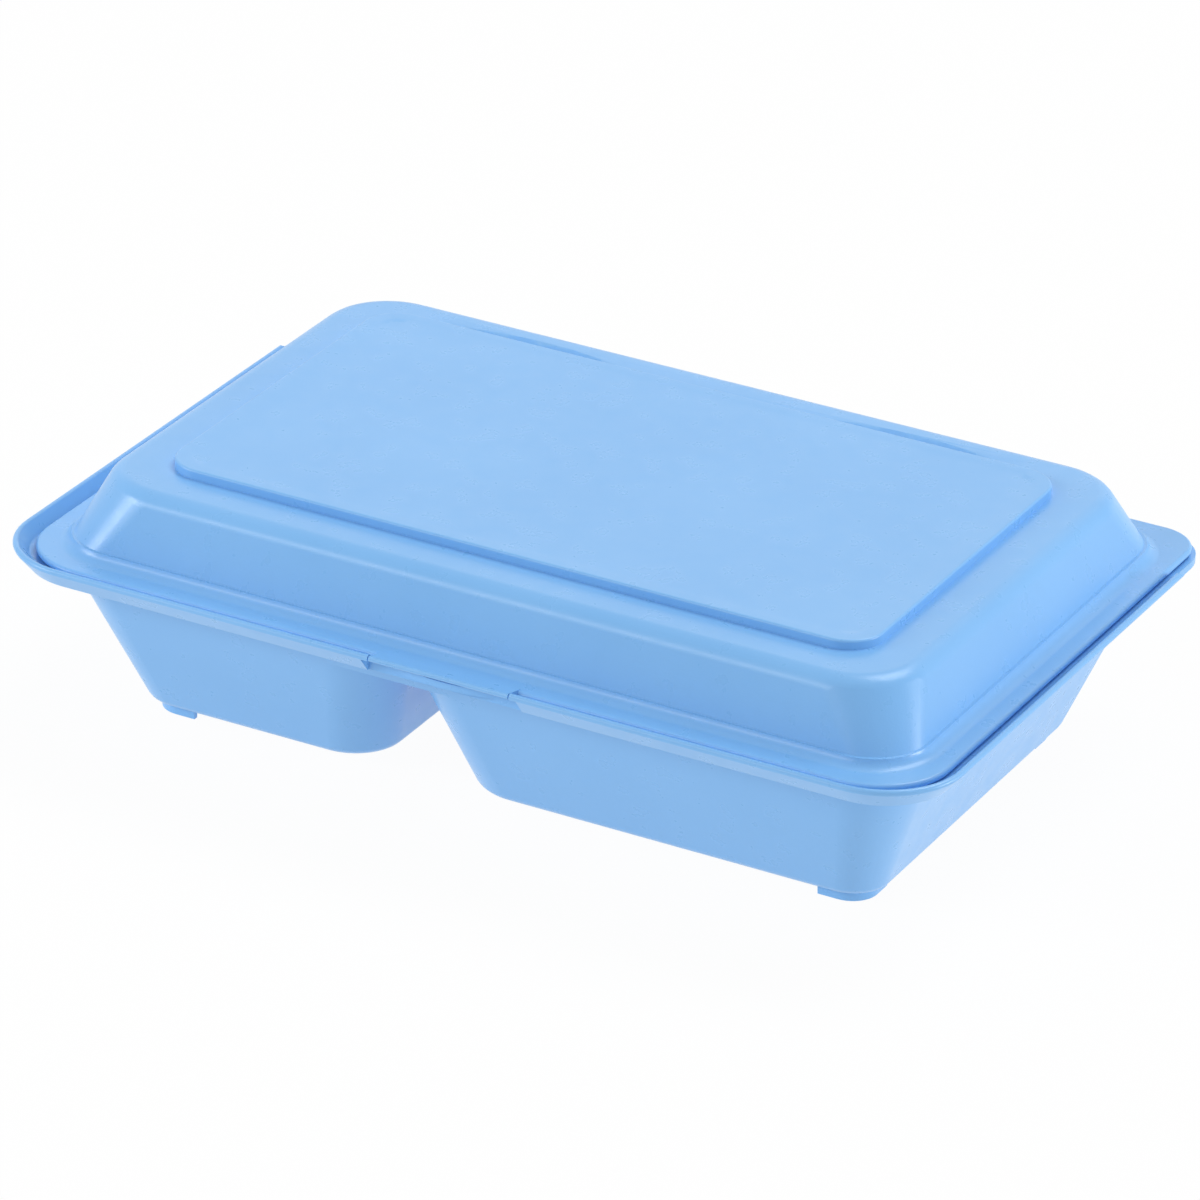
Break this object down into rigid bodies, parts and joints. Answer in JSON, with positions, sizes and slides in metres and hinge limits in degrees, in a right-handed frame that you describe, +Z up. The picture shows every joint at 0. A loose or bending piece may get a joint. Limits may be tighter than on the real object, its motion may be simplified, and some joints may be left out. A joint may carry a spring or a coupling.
{
  "type": "reusable meal container",
  "caption": "Shallow rectangular food box with a divided tray, small corner feet and a raised lid that hinges at the back and snaps shut under a thumb tab at the front.",
  "frame": {"origin": "centre of the bounding box at the ground, between the feet", "axes": "+X along the length towards the large compartment, -Y towards the latch at the front, +Y towards the hinge, +Z up"},
  "size_m": [0.24, 0.1634, 0.0642],
  "materials": {
    "polypropylene": "sky-blue moulded polypropylene, satin, with a fine grain on the lid's walls"
  },
  "bodies": {
    "tray": {"base_tray": "polypropylene"},
    "lid": {"lid": "polypropylene"}
  },
  "joints": [
    {"name": "lid_hinge", "type": "hinge", "parent": "tray", "child": "lid", "pos_m": [0, 0.07877, 0.0441], "axis": [-1, 0, 0], "range_deg": [0, 180]}
  ]
}
